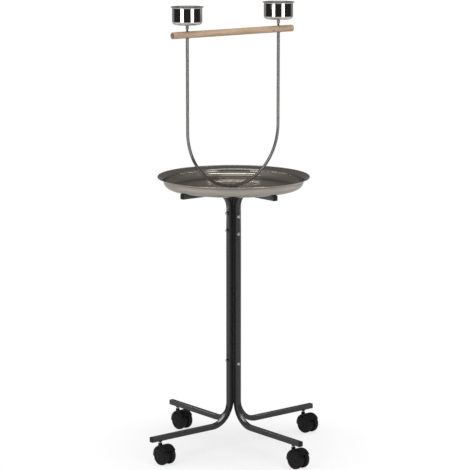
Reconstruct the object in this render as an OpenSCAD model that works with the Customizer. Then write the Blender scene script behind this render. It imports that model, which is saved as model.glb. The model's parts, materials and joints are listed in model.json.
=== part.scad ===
// Bird perch stand. A U-shaped rod carries a wooden perch and two feeding cups above a round
// drip tray, on a post of four bent square tubes with a swivelling caster under each leg.
// The origin is on the floor below the post's axis, +Z is up and the perch lies along X.

/* [Frame] */
// Outside width of the square tube
tube_w = 14; // [12:0.5:16]
// Wall of the square tube
tube_wall = 1.2; // [0.8:0.1:1.5]
// Outside corner radius of the square tube
tube_corner = 2; // [1.8:0.1:3]
// Height of the frame, from the leg undersides to the arm tops
frame_h = 652.5; // [450:0.5:900]
// Distance from the post's axis to the end of a leg
leg_reach = 280; // [230:1:360]
// Distance from the post's axis to the end of an arm
arm_reach = 174; // [120:1:200]
// Bend radius of the tube's centreline at the leg
leg_bend = 62; // [50:1:110]
// Bend radius of the tube's centreline at the arm
arm_bend = 45; // [30:1:70]
// Thickness of the plate of a tube end cap
cap_plate = 2; // [1:0.25:4]
// Length of an end cap's plug inside the tube
cap_plug = 12; // [6:0.5:16]

/* [Frame bolts] */
// Diameter of the bolts through the post
bolt_d = 5; // [4:0.5:6]
// Diameter of a bolt's domed head
bolt_head_d = 9.5; // [8:0.5:11]
// Height of a bolt's domed head
bolt_head_h = 2.8; // [2:0.1:4]
// Height of the lowest bolts above the leg undersides
bolt_low = 183; // [130:1:260]
// Distance of the middle bolts below the arm tops
bolt_mid = 113.5; // [95:0.5:150]
// Distance of the upper bolts below the arm tops
bolt_top = 66.5; // [62:0.5:75]
// How much lower the bolts along Y lie than the bolts along X
bolt_step = 9; // [7:0.5:14]

/* [Tray] */
// Radius of the tray at the rim's edge
tray_r = 203; // [180:1:260]
// Depth of the tray, from its underside to the rim's top
tray_depth = 32; // [28:0.5:50]
// Thickness of the tray's sheet
tray_sheet = 1; // [0.6:0.1:1.5]
// Radius of the tray's side wall, outside
tray_wall_r = 187; // [165:1:190]
// Outside radius of the corner between the tray's floor and its wall
tray_corner = 20; // [10:0.5:20]
// Diameter of the washer between the rod and the tray's floor
tray_washer_d = 30; // [20:1:50]
// Thickness of that washer
tray_washer_t = 1.5; // [1:0.25:3]

/* [Perch frame] */
// Diameter of the U-shaped rod
rod_d = 8; // [7.5:0.5:12]
// Distance between the centres of the rod's uprights
upright_gap = 308; // [220:1:340]
// Height of the perch's centre above the arm tops
perch_rise = 415; // [300:1:520]
// Diameter of the threaded ends of the rod and of the stud below it
stud_d = 6; // [5:0.5:6]
// Length of the stud below the rod
stud_drop = 24; // [15:0.5:30]
// Diameter of the wooden perch
perch_d = 18; // [17:0.5:25]
// Length of the wooden perch
perch_len = 405; // [380:1:520]
// Depth of the flat seats that are cut into the perch's underside for the lower washers
perch_seat = 1.2; // [0.8:0.1:1.2]
// Depth of the counterbores in the perch's top that hide the upper washers and the nuts
perch_sink = 5; // [4.5:0.5:6]
// Outside diameter of the perch washers
perch_washer_d = 11; // [10:0.5:13]
// Thickness of the perch washers
perch_washer_t = 1.5; // [1:0.1:2.5]
// Height of the perch nuts
perch_nut_h = 3.2; // [2.5:0.1:5]

/* [Cups] */
// Radius of a cup at the rim's edge
cup_r = 43; // [40:0.5:60]
// Depth of a cup
cup_depth = 46.5; // [30:0.5:70]
// Radius of a cup's side wall, outside
cup_wall_r = 39; // [30:0.5:39]
// Outside radius of the corner between a cup's floor and its wall
cup_corner = 9; // [5:0.5:14]
// Thickness of a cup's sheet
cup_sheet = 0.8; // [0.5:0.1:1.2]
// Height of a cup's underside above the perch's top
cup_rise = 17; // [14:0.5:30]
// Outside diameter of the threaded boss under a cup
boss_d = 8; // [7.5:0.5:12]
// Length of the threaded boss under a cup
boss_len = 11.5; // [5:0.5:13]

/* [Casters] */
// Diameter of the wheels
wheel_d = 50; // [45:1:60]
// Width of one wheel
wheel_w = 16.5; // [15:0.5:22]
// Radius of the round outer shoulder of a wheel
wheel_shoulder = 10; // [4:0.5:13]
// Distance from the swivel axis to the wheel axle
trail = 20; // [16:0.5:22]
// Distance from the end of a leg to a caster's swivel axis
caster_inset = 30; // [26:1:60]
// Diameter of a caster's stem
stem_d = 7; // [6:0.5:7.5]
// Thickness of the hood's web between the two wheels
web_t = 11; // [10.5:0.5:14]
// Thickness of the hood over the wheels
hood_wall = 1.8; // [1.4:0.1:3]
// Gap between a wheel and the hood above it
hood_gap = 0.7; // [0.5:0.1:2]
// Gap between the top of a hood and the leg above it
leg_gap = 7.5; // [2:0.1:10]
// Diameter of the wheel axles
axle_d = 5; // [4:0.5:6]
// Thickness of the socket's flange under a leg
flange_t = 2.4; // [1.5:0.1:3]
// Length of bare stem that shows between the flange and the hood's neck
stem_show = 4.1; // [2:0.1:5]

/* [Hidden] */
$fn = 64;
// Radial clearance of a turning fit, and the gap around pieces that are pushed or screwed in
running_gap = 0.05;
fit_gap = 0.1;
// Side play of a wheel beside the hood's web
wheel_play = 0.5;
// Extra length that lets a cut pass right through a face
cut = 1;

CASTERS = ["right", "back", "left", "front"];
CASTER_PIECES = ["socket", "stem", "hood", "axle", "wheel_a", "wheel_b"];

wheel_r = wheel_d / 2;
hood_r = wheel_r + hood_gap + hood_wall;
leg_under = wheel_r + hood_r + leg_gap;
caster_reach = leg_reach - caster_inset;
leg_z = leg_under + tube_w / 2;
tray_z = leg_under + frame_h;
arm_z = tray_z - tube_w / 2;
post_r = 1.5 * tube_w;
bore_w = tube_w - 2 * tube_wall;
bore_corner = tube_corner - tube_wall;
plug_w = bore_w - 2 * fit_gap;

bolt_heights_x = [leg_under + bolt_low, tray_z - bolt_mid, tray_z - bolt_top];
bolt_heights_y = [for (h = bolt_heights_x) h - bolt_step];
bolt_nut_w = 8;
bolt_nut_h = 4;
bolt_nut_collar = 1;
bolt_end = 1.5;
hex_key_w = 3;
hex_key_depth = 1.6;

insert_len = stud_drop + 1;
tray_hole_d = stud_d + 0.4;
rod_r = rod_d / 2;
rod_z = tray_z + tray_sheet + tray_washer_t + rod_r;
upright_x = upright_gap / 2;
perch_z = tray_z + perch_rise;
perch_r = perch_d / 2;
seat_low_z = perch_z - perch_r + perch_seat;
seat_high_z = perch_z + perch_r - perch_sink;
shoulder_z = seat_low_z - perch_washer_t;
perch_edge = 1.5;
perch_nut_w = 10;
perch_seat_d = max(perch_washer_d, perch_nut_w / cos(30)) + 1;
cup_z = perch_z + perch_r + cup_rise;
stud_top_z = cup_z - 0.5;

socket_d = 9.4;
flange_d = 11;
socket_len = tube_w - tube_wall - 0.3;
stem_len_in_hood = 26;
neck_z = leg_under - flange_t - stem_show;
wheel_x = web_t / 2 + wheel_play;
inner_shoulder = 2.5;
wheel_hollow = 3;
face_dish = 1.2;
wheel_out_x = wheel_x + wheel_w;
hood_half_w = wheel_out_x - 4;
web_r = wheel_r - 4;
hood_front = 82;
hood_back = 236;
axle_len = 2 * wheel_out_x - 6;

// Points of an arc from angle a0 to a1 about a centre c
function arc(c, r, a0, a1, n = 8) =
    [for (i = [0:n]) c + r * [cos(a0 + (a1 - a0) * i / n), sin(a0 + (a1 - a0) * i / n)]];

// Outline of a square with round corners
module round_square(w, r) {
    square([w, w - 2 * r], center = true);
    square([w - 2 * r, w], center = true);
    for (x = [-1, 1], y = [-1, 1])
        translate([x * (w / 2 - r), y * (w / 2 - r)]) circle(r);
}

// A bar of square section along the centreline of the tube that runs out along +X
module bent_bar(w, r, beyond = 0) {
    leg_len = leg_reach - cap_plate - tube_w - leg_bend + beyond;
    arm_len = arm_reach - cap_plate - tube_w - arm_bend + beyond;
    post_z = leg_z + leg_bend;
    translate([tube_w + leg_bend, 0, leg_z]) rotate([0, 90, 0])
        linear_extrude(leg_len) round_square(w, r);
    translate([tube_w + leg_bend, 0, post_z]) rotate([90, 0, 0]) rotate([0, 0, 180])
        rotate_extrude(angle = 90) translate([leg_bend, 0]) round_square(w, r);
    translate([tube_w, 0, post_z])
        linear_extrude(arm_z - arm_bend - post_z) round_square(w, r);
    translate([tube_w + arm_bend, 0, arm_z - arm_bend]) rotate([90, 0, 0]) rotate([0, 0, 90])
        rotate_extrude(angle = 90) translate([arm_bend, 0]) round_square(w, r);
    translate([tube_w + arm_bend, 0, arm_z]) rotate([0, 90, 0])
        linear_extrude(arm_len) round_square(w, r);
}

// Holes along X through the post at the given heights
module bolt_holes(heights) {
    for (h = heights)
        translate([0, 0, h]) rotate([0, 90, 0])
            cylinder(d = bolt_d + 2 * fit_gap, h = 2 * post_r + 2 * cut, center = true);
}

// Turns a piece that is drawn towards +X to one of the four sides: 0 +X, 1 +Y, 2 -X, 3 -Y
module to_side(k) {
    rotate([0, 0, 90 * k]) children();
}

module frame_tube(k) {
    color([0.09, 0.09, 0.09]) to_side(k) difference() {
        bent_bar(tube_w, tube_corner);
        bent_bar(bore_w, bore_corner, cut);
        bolt_holes(k % 2 == 0 ? bolt_heights_x : bolt_heights_y);
        translate([caster_reach, 0, leg_under - cut])
            cylinder(d = socket_d + 2 * fit_gap, h = tube_wall + 2 * cut);
    }
}

module core_tube() {
    core_z = leg_z + leg_bend;
    color([0.09, 0.09, 0.09]) difference() {
        translate([0, 0, core_z]) linear_extrude(tray_z - core_z) round_square(tube_w, tube_corner);
        translate([0, 0, core_z - cut]) linear_extrude(tray_z - core_z + 2 * cut)
            round_square(bore_w, bore_corner);
        bolt_holes(bolt_heights_x);
        rotate([0, 0, 90]) bolt_holes(bolt_heights_y);
    }
}

// Threaded plug in the top of the core tube
module core_insert() {
    color([0.7, 0.7, 0.7]) translate([0, 0, tray_z - insert_len]) difference() {
        linear_extrude(insert_len) round_square(plug_w, bore_corner);
        translate([0, 0, -cut]) cylinder(d = stud_d + 2 * running_gap, h = insert_len + 2 * cut);
    }
}

// End cap on the end of a tube, drawn with the tube's end at x = 0
module tube_cap() {
    color([0.05, 0.05, 0.05]) rotate([0, 90, 0]) {
        linear_extrude(cap_plate) round_square(tube_w, tube_corner);
        translate([0, 0, -cap_plug]) linear_extrude(cap_plug) round_square(plug_w, bore_corner);
    }
}

module leg_cap(k) {
    to_side(k) translate([leg_reach - cap_plate, 0, leg_z]) tube_cap();
}

module arm_cap(k) {
    to_side(k) translate([arm_reach - cap_plate, 0, arm_z]) tube_cap();
}

// Domed bolt through the whole post, drawn along +X with its head at the -X side
module post_bolt() {
    dome = concat([[0, 0], [bolt_head_d / 2, 0]],
                  [for (a = [0:10:90]) [bolt_head_d / 2 * cos(a), 0.4 + (bolt_head_h - 0.4) * sin(a)]]);
    shank = 2 * post_r + bolt_nut_h + bolt_nut_collar + bolt_end;
    translate([-post_r, 0, 0]) rotate([0, 90, 0]) {
        cylinder(d = bolt_d, h = shank);
        difference() {
            rotate([180, 0, 0]) rotate_extrude() polygon(dome);
            translate([0, 0, -bolt_head_h - cut])
                cylinder(d = hex_key_w / cos(30), h = hex_key_depth + cut, $fn = 6);
        }
    }
}

// Locking nut on the far side of the post
module post_nut() {
    translate([post_r, 0, 0]) rotate([0, 90, 0]) difference() {
        union() {
            cylinder(d = bolt_nut_w / cos(30), h = bolt_nut_h, $fn = 6);
            cylinder(d = bolt_nut_w - 1, h = bolt_nut_h + bolt_nut_collar);
        }
        translate([0, 0, -cut])
            cylinder(d = bolt_d + 2 * running_gap, h = bolt_nut_h + bolt_nut_collar + 2 * cut);
    }
}

module bolts(heights) {
    color([0.8, 0.8, 0.8]) for (h = heights) translate([0, 0, h]) post_bolt();
}

module nuts(heights) {
    color([0.8, 0.8, 0.8]) for (h = heights) translate([0, 0, h]) post_nut();
}

// Half section of a pressed pan: flat floor, round corner, side wall and a flared rim that
// ends in a rolled bead. rim is the overall radius and slope the rim's angle.
module pan_section(rim, wall, depth, corner, fillet, slope, sheet, bead) {
    lip_x = rim - bead - wall - fillet + fillet * sin(slope);
    lip_rise = lip_x * tan(slope);
    bead_z = depth - bead;
    fillet_z = bead_z - sheet / 2 / cos(slope) - lip_rise - fillet * cos(slope);
    corner_c = [wall - corner, corner];
    fillet_c = [wall + fillet, fillet_z];
    under = concat([[0, 0]], arc(corner_c, corner, -90, 0), arc(fillet_c, fillet, 180, 90 + slope),
                   [[rim - bead, bead_z - sheet / 2 / cos(slope)]]);
    over = concat([[rim - bead, bead_z + sheet / 2 / cos(slope)]],
                  arc(fillet_c, fillet + sheet, 90 + slope, 180),
                  arc(corner_c, corner - sheet, 0, -90), [[0, sheet]]);
    polygon(concat(under, over));
    translate([rim - bead, bead_z]) circle(bead);
}

module tray() {
    color([0.55, 0.55, 0.55]) translate([0, 0, tray_z]) difference() {
        rotate_extrude($fn = 128)
            pan_section(tray_r, tray_wall_r, tray_depth, tray_corner, 4, 26, tray_sheet, 1.5);
        translate([0, 0, -cut]) cylinder(d = tray_hole_d, h = tray_sheet + 2 * cut);
    }
}

// Flat ring with its underside at z = 0
module washer(outer, inner, thickness) {
    difference() {
        cylinder(d = outer, h = thickness);
        translate([0, 0, -cut]) cylinder(d = inner, h = thickness + 2 * cut);
    }
}

module tray_washer() {
    color([0.75, 0.75, 0.75]) translate([0, 0, tray_z + tray_sheet])
        washer(tray_washer_d, tray_hole_d, tray_washer_t);
}

// U-shaped rod with reduced ends through the perch and a stud welded under its middle
module perch_rod() {
    arc_z = rod_z + upright_x;
    color([0.4, 0.4, 0.4]) {
        translate([0, 0, arc_z]) rotate([90, 0, 0]) rotate([0, 0, 180])
            rotate_extrude(angle = 180) translate([upright_x, 0]) circle(rod_r);
        for (x = [-upright_x, upright_x]) {
            translate([x, 0, arc_z]) cylinder(r = rod_r, h = shoulder_z - arc_z);
            translate([x, 0, shoulder_z]) cylinder(d = stud_d, h = stud_top_z - shoulder_z);
        }
        translate([0, 0, tray_z - stud_drop]) cylinder(d = stud_d, h = rod_z - tray_z + stud_drop);
    }
}

module perch() {
    half = perch_len / 2;
    side = concat(arc([perch_r - perch_edge, perch_edge], perch_edge, -90, 0, 5),
                  arc([perch_r - perch_edge, perch_len - perch_edge], perch_edge, 0, 90, 5));
    color([0.78, 0.62, 0.46]) difference() {
        translate([-half, 0, perch_z]) rotate([0, 90, 0])
            rotate_extrude() polygon(concat([[0, 0]], side, [[0, perch_len]]));
        for (x = [-upright_x, upright_x]) translate([x, 0, 0]) {
            translate([0, 0, perch_z - perch_r - cut])
                cylinder(d = stud_d + 2 * fit_gap, h = perch_d + 2 * cut);
            translate([0, 0, seat_high_z]) cylinder(d = perch_seat_d, h = perch_sink + cut);
            translate([0, 0, seat_low_z - perch_seat - cut])
                cylinder(d = perch_seat_d, h = perch_seat + cut);
        }
    }
}

module perch_washers() {
    color([0.75, 0.75, 0.75])
        for (x = [-upright_x, upright_x], z = [shoulder_z, seat_high_z])
            translate([x, 0, z]) washer(perch_washer_d, stud_d + 2 * fit_gap, perch_washer_t);
}

module perch_nuts() {
    color([0.75, 0.75, 0.75])
        for (x = [-upright_x, upright_x])
            translate([x, 0, seat_high_z + perch_washer_t]) difference() {
                cylinder(d = perch_nut_w / cos(30), h = perch_nut_h, $fn = 6);
                translate([0, 0, -cut])
                    cylinder(d = stud_d + 2 * running_gap, h = perch_nut_h + 2 * cut);
            }
}

// Feeding cup with the threaded boss that screws onto the end of the rod
module cup(x) {
    color([0.7, 0.7, 0.7]) translate([x, 0, cup_z]) {
        rotate_extrude($fn = 96)
            pan_section(cup_r, cup_wall_r, cup_depth, cup_corner, 1.5, 14, cup_sheet, 0.9);
        difference() {
            translate([0, 0, -boss_len]) cylinder(d = boss_d, h = boss_len + cup_sheet / 2);
            translate([0, 0, -boss_len - cut])
                cylinder(d = stud_d + 2 * running_gap, h = boss_len + cut);
        }
    }
}

// Places a caster piece, drawn about its swivel axis on the floor, under one leg.
// Every caster trails towards -Y, so the pieces are moved and not turned.
module under_leg(k) {
    translate([caster_reach * cos(90 * k), caster_reach * sin(90 * k), 0]) children();
}

// Turns a shape from the Z axis onto the wheel axle, which is parallel to X
module on_axle() {
    translate([0, -trail, wheel_r]) rotate([0, 90, 0]) children();
}

module caster_socket() {
    color([0.05, 0.05, 0.05]) difference() {
        translate([0, 0, leg_under]) {
            cylinder(d = socket_d, h = socket_len);
            translate([0, 0, -flange_t]) cylinder(d = flange_d, h = flange_t);
        }
        translate([0, 0, leg_under - flange_t - cut])
            cylinder(d = stem_d + 2 * running_gap, h = flange_t + socket_len + 2 * cut);
    }
}

module caster_stem() {
    color([0.75, 0.75, 0.75]) translate([0, 0, neck_z - stem_len_in_hood])
        cylinder(d = stem_d, h = leg_under + socket_len - 0.5 - neck_z + stem_len_in_hood);
}

// Half section through the space that a wheel takes, grown by a margin, for x > from
module wheel_space(margin, from, to) {
    shoulder_c = [wheel_r - wheel_shoulder, wheel_out_x - wheel_shoulder];
    round_r = wheel_shoulder + margin;
    end_angle = asin(min(1, (to - shoulder_c.y) / round_r));
    polygon(concat([[0, from], [wheel_r + margin, from]],
                   arc(shoulder_c, round_r, 0, end_angle),
                   [[0, shoulder_c.y + round_r * sin(end_angle)]]));
}

// The hood follows the round shoulders of the wheels from the front over the top to the back
module caster_hood() {
    color([0.05, 0.05, 0.05]) difference() {
        union() {
            for (side = [0, 1]) on_axle() mirror([0, 0, side]) rotate([0, 0, hood_front])
                rotate_extrude(angle = hood_back - hood_front)
                    wheel_space(hood_gap + hood_wall, 0, hood_half_w);
            on_axle() cylinder(r = web_r, h = web_t, center = true);
            translate([0, 0, wheel_r]) cylinder(d = web_t, h = neck_z - wheel_r);
        }
        for (side = [0, 1]) on_axle() mirror([0, 0, side])
            rotate_extrude() wheel_space(hood_gap, web_t / 2, 2 * wheel_out_x);
        on_axle() cylinder(d = axle_d + 2 * fit_gap, h = web_t + 2 * cut, center = true);
        translate([0, 0, neck_z - stem_len_in_hood])
            cylinder(d = stem_d + 2 * fit_gap, h = stem_len_in_hood + cut);
    }
}

module caster_axle() {
    color([0.75, 0.75, 0.75]) on_axle() cylinder(d = axle_d, h = axle_len, center = true);
}

// One wheel, side = 1 on the +X side of the hood and -1 on the other side
module caster_wheel(side) {
    hub_r = 8;
    hollow_r = wheel_r - 5;
    face_r = wheel_r - wheel_shoulder;
    section = concat(
        [[0, 0], [hub_r, 0], [hub_r, wheel_hollow], [hollow_r - 1, wheel_hollow], [hollow_r, 0]],
        arc([wheel_r - inner_shoulder, inner_shoulder], inner_shoulder, -90, 0, 4),
        arc([face_r, wheel_w - wheel_shoulder], wheel_shoulder, 0, 90, 10),
        [[face_r - 0.6, wheel_w - face_dish], [hub_r - 2.5, wheel_w - face_dish]],
        [[hub_r - 3.2, wheel_w], [0, wheel_w]]);
    color([0.04, 0.04, 0.04]) on_axle() mirror([0, 0, side < 0 ? 1 : 0])
        translate([0, 0, wheel_x]) difference() {
            rotate_extrude() polygon(section);
            translate([0, 0, -cut])
                cylinder(d = axle_d + 2 * running_gap, h = wheel_w - 2.5 + cut);
        }
}

core_tube();
core_insert();
to_side(2) bolts(bolt_heights_x);  // bolts_x
to_side(1) bolts(bolt_heights_y);  // bolts_y
to_side(2) nuts(bolt_heights_x);  // nuts_x
to_side(1) nuts(bolt_heights_y);  // nuts_y
tray();
tray_washer();
perch_rod();
perch();
perch_washers();
perch_nuts();
cup(-upright_x);  // cup_left
cup(upright_x);  // cup_right
for (k = [0:3]) {
    frame_tube(k);
    leg_cap(k);
    arm_cap(k);
    under_leg(k) caster_socket();
    under_leg(k) caster_stem();
    under_leg(k) caster_hood();
    under_leg(k) caster_axle();
    under_leg(k) caster_wheel(-1);
    under_leg(k) caster_wheel(1);
}
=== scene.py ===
"""Looks of the bird perch stand around its frame: fine shapes, finishes, floor, lamps and camera."""
import json
import math

import bmesh
import bpy
from mathutils import Matrix, Vector

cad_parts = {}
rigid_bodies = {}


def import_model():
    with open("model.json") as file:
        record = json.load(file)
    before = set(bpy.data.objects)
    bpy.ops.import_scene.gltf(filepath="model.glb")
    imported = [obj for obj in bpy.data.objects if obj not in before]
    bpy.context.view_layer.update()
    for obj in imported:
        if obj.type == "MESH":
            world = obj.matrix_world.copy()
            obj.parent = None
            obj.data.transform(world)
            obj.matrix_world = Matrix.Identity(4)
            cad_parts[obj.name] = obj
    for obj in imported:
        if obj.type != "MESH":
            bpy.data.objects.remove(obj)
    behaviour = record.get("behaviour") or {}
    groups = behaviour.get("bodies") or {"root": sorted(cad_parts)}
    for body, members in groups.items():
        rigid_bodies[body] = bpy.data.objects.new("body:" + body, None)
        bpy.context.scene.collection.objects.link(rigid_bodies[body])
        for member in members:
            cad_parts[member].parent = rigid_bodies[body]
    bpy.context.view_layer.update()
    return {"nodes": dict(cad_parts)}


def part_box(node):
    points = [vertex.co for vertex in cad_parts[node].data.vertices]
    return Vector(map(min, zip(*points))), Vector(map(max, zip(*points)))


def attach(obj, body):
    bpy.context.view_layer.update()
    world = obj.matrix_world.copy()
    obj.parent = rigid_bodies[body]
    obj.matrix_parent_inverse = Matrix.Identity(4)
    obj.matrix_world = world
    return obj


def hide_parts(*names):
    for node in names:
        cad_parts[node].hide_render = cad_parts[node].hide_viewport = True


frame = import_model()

MM = 0.001
SIDES = ["right", "back", "left", "front"]

# Camera: where the photograph was taken from and what it looks at
CAMERA_TURN = 0.68
CAMERA_DISTANCE = 5.456
CAMERA_HEIGHT = 1.573
CAMERA_TARGET = (0.0029, -0.0023, 0.5845)
CAMERA_LENS = 158.7

# Lamps: name, bearing from the camera, distance, height, height aimed at, width, length, radiance
LAMPS = (
    ("right_strip", -39, 4.0, 0.72, 0.72, 1.6, 0.85, 2.6),
    ("left_strip", 39, 4.0, 0.72, 0.72, 1.6, 0.85, 2.6),
    ("top_strip", 0, 0.3, 3.0, 0.7, 2.6, 0.45, 0.7),
    ("glint_front", 0, 1.2, 2.25, 0.7, 3.0, 0.22, 3.2),
    ("glint_back_left", 129, 0.65, 0.6, 0.1, 0.6, 0.2, 5.0),
    ("glint_back_right", -115, 0.47, 0.6, 0.1, 0.5, 0.18, 4.5),
    ("fill_right", -105, 2.6, 0.9, 0.9, 1.6, 1.8, 2.2),
    ("fill_left", 80, 2.6, 0.9, 0.9, 1.6, 1.8, 2.2),
    ("fill_front_right", -39, 2.4, 1.7, 1.7, 1.0, 1.9, 2.2),
    ("fill_front_left", 39, 2.4, 1.7, 1.7, 1.0, 1.9, 2.4),
    ("fill_top", 0, 0.3, 3.0, 0.7, 2.6, 2.6, 0.95),
)

# Glints: the pieces that mirror these lamps, by the first part of their names
GLINTS = {
    "glint_front": ("drip_tray", "perch_bow"),
    "glint_back_left": ("bent_tube",),
    "glint_back_right": ("bent_tube",),
}

# Studio round the stand: what metal reflects of it, with its edges in degrees, and its even fill
STUDIO_DARK = 0.02
BACKDROP = 0.22
CEILING_BACK = 0.14
CEILING_FRONT = 0.24
BACKDROP_EDGE = (66, 58)
CEILING_EDGE = (2, 8)
FILL = 0.45
FLOOR_R = 7.0
# Floor near the stand: glow below white, faded to white outward, a painted shade round the base besides
# its real shadow
FLOOR_GLOW = 0.545
FLOOR_PAINTED_SHADE_FADE = (0.14, 0.4)
FLOOR_SHINE = (0.08, 0.2)
SHINE_FADE = (0.8, 2.2)

# Frame and fits: sizes that the boxes of the nodes don't give
TUBE_CORNER = 2 * MM
LEG_BEND = 62 * MM
ARM_BEND = 45 * MM
BEND_DENT = 0.9 * MM
BEND_BULGE = 0.25 * MM
BOLT_PITCH = 47 * MM
BOLT_D = 5 * MM
BOLT_THREAD = 0.8 * MM
NUT_FLATS = 8 * MM
NUT_COLLAR = 1 * MM
STUD_D = 6 * MM
STUD_THREAD = 1 * MM
STUD_WELD = 0.9 * MM
PERCH_NUT_FLATS = 10 * MM
WASHER_T = 1.5 * MM
SNUG = 0.05 * MM
LOOSE = 0.1 * MM

# Casters: sizes that the boxes don't give, and where the hood starts and ends round its axle, in degrees
WHEEL_SHOULDER = 10 * MM
WHEEL_HUB = 8 * MM
WHEEL_HOLLOW = 3 * MM
WHEEL_LIP = 5 * MM
WHEEL_CORNER = 2.5 * MM
WHEEL_DISH = 1.2 * MM
WHEEL_BORE = BOLT_D / 2 + SNUG
HUB_CAP = 2.5 * MM
HUB_EDGE = 0.8 * MM
WEB_PLAY = 0.5 * MM
STEM_IN_HOOD = 26 * MM
FLANGE_STEP = 0.8 * MM
HOOD_GAP = 0.7 * MM
HOOD_FRONT = 82
HOOD_BACK = 236

# Tray and cups: the sizes of their pressed sections
TRAY_WALL = 187 * MM
TRAY_CORNER = 20 * MM
TRAY_FILLET = 4 * MM
TRAY_SLOPE = 26
TRAY_SHEET = 1 * MM
TRAY_BEAD = 1.5 * MM
TRAY_HOLE = 3.2 * MM
CUP_WALL = 39 * MM
CUP_DEPTH = 46.5 * MM
CUP_CORNER = 9 * MM
CUP_FILLET = 1.5 * MM
CUP_SLOPE = 14
CUP_SHEET = 0.8 * MM
CUP_BEAD = 0.9 * MM
BOSS_R = 4 * MM
CUP_WELD = 0.75 * MM

# Perch: where its knot is and how large
KNOT_AT = (0.131, -0.0085, 1.1245)
KNOT_R = 3.2 * MM


# Shapes, each a list of points and a list of faces

def arc(centre, radius, start, end, steps):
    """Points of a flat arc, with its angles in degrees."""
    angles = [math.radians(start + (end - start) * i / steps) for i in range(steps + 1)]
    return [(centre[0] + radius * math.cos(a), centre[1] + radius * math.sin(a)) for a in angles]


def round_square(width, corner, steps=6, flats=4):
    """Outline of a square with round corners and evenly divided flats."""
    inner = width / 2 - corner
    outline = []
    for turn in range(4):
        quarter = arc((inner, inner), corner, 0, 90, steps)
        flat = [(inner - 2 * inner * i / flats, width / 2) for i in range(1, flats)]
        for x, y in quarter + flat:
            for _ in range(turn):
                x, y = -y, x
            outline.append((x, y))
    return outline


def skin(rings, closed_ends=True, loop=False):
    """Joins rings of points to a shape. A ring whose points coincide becomes a single point."""
    points, numbers = [], []
    for ring in rings:
        if all((Vector(p) - Vector(ring[0])).length < 1e-9 for p in ring):
            numbers.append([len(points)] * len(ring))
            points.append(tuple(ring[0]))
        else:
            numbers.append(list(range(len(points), len(points) + len(ring))))
            points.extend(tuple(p) for p in ring)
    faces = []
    pairs = list(zip(numbers, numbers[1:]))
    if loop:
        pairs.append((numbers[-1], numbers[0]))
    for low, high in pairs:
        for i in range(len(low)):
            j = (i + 1) % len(low)
            face = tuple(dict.fromkeys([low[i], low[j], high[j], high[i]]))
            if len(face) > 2:
                faces.append(face)
    if closed_ends and not loop:
        for ring in (numbers[0], numbers[-1]):
            if ring[0] != ring[-1]:
                faces.append(tuple(ring))
    return points, faces


def revolve(profile, segments=96):
    """Turns a closed outline of (radius, height) about Z."""
    turns = [2 * math.pi * i / segments for i in range(segments)]
    rings = [[(r * math.cos(a), r * math.sin(a), z) for a in turns] for r, z in profile]
    return skin(rings, loop=True)


def revolve_part(profile, start, end, segments=48):
    """Turns a closed outline of (radius, height) about Z over a part of the circle."""
    rings = []
    for i in range(segments + 1):
        a = math.radians(start + (end - start) * i / segments)
        rings.append([(r * math.cos(a), r * math.sin(a), z) for r, z in profile])
    return skin(rings)


def sweep(path, section, side, shape=None):
    """Carries an outline along a flat path. side is square to the path's plane."""
    side = Vector(side)
    rings = []
    for i, point in enumerate(path):
        before, after = path[max(i - 1, 0)], path[min(i + 1, len(path) - 1)]
        along = (Vector(after) - Vector(before)).normalized()
        out = along.cross(side)
        outline = [shape(i, u, v) for u, v in section] if shape else section
        rings.append([Vector(point) + side * u + out * v for u, v in outline])
    return skin(rings)


def threaded_rod(radius, pitch, low, high, segments=32, steps=6):
    """A rod along Z with a screw thread and a chamfered top."""
    depth = 0.58 * pitch
    chamfer = 0.9 * pitch
    count = max(2, round((high - low) / pitch * steps))
    rings = []
    for i in range(count + 1):
        z = low + (high - low) * i / count
        ring = []
        for j in range(segments):
            a = 2 * math.pi * j / segments
            wave = 0.5 - 0.5 * math.cos(2 * math.pi * z / pitch - a)
            r = min(radius - depth * wave, radius - chamfer + high - z + 0.1 * pitch)
            ring.append((r * math.cos(a), r * math.sin(a), z))
        rings.append(ring)
    return skin(rings)


def weld_bead(radius, size, ripples, segments=160, steps=10):
    """A ring of weld about Z, with the ripples that a torch leaves."""
    rings = []
    for i in range(segments):
        a = 2 * math.pi * i / segments
        wave = abs(math.sin(ripples * a / 2))
        r = size * (0.82 + 0.18 * wave + 0.05 * math.sin(3 * a))
        outline = arc((radius, 0), r, 0, 360 * (1 - 1 / steps), steps - 1)
        rings.append([(x * math.cos(a), x * math.sin(a), z) for x, z in outline])
    return skin(rings, loop=True)


def moved(shape, matrix):
    return [tuple(matrix @ Vector(p)) for p in shape[0]], shape[1]


def joined(*shapes):
    points, faces = [], []
    for more_points, more_faces in shapes:
        faces += [tuple(i + len(points) for i in face) for face in more_faces]
        points += more_points
    return points, faces


def mesh_of(name, shape, sharp=32):
    """A mesh with outward faces, smooth except across edges sharper than the given angle."""
    mesh = bpy.data.meshes.new(name)
    mesh.from_pydata([tuple(p) for p in shape[0]], [], shape[1])
    work = bmesh.new()
    work.from_mesh(mesh)
    bmesh.ops.remove_doubles(work, verts=work.verts, dist=1e-7)
    bmesh.ops.recalc_face_normals(work, faces=work.faces)
    work.to_mesh(mesh)
    work.free()
    mesh.polygons.foreach_set("use_smooth", [True] * len(mesh.polygons))
    mesh.set_sharp_from_angle(angle=math.radians(sharp))
    return mesh


def worked(shape, *steps):
    """The shape after modifiers, each given as its kind and settings, where a shape is a tool."""
    objects = [bpy.data.objects.new("work", mesh_of("work", shape))]
    for kind, settings in steps:
        modifier = objects[0].modifiers.new(kind, kind)
        for key, value in settings.items():
            if key == "object":
                value = bpy.data.objects.new("tool", mesh_of("tool", value))
                objects.append(value)
            setattr(modifier, key, value)
    for item in objects:
        bpy.context.scene.collection.objects.link(item)
    graph = bpy.context.evaluated_depsgraph_get()
    mesh = objects[0].evaluated_get(graph).to_mesh()
    result = [tuple(v.co) for v in mesh.vertices], [tuple(p.vertices) for p in mesh.polygons]
    for item in objects:
        bpy.data.objects.remove(item)
    return result


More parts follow.
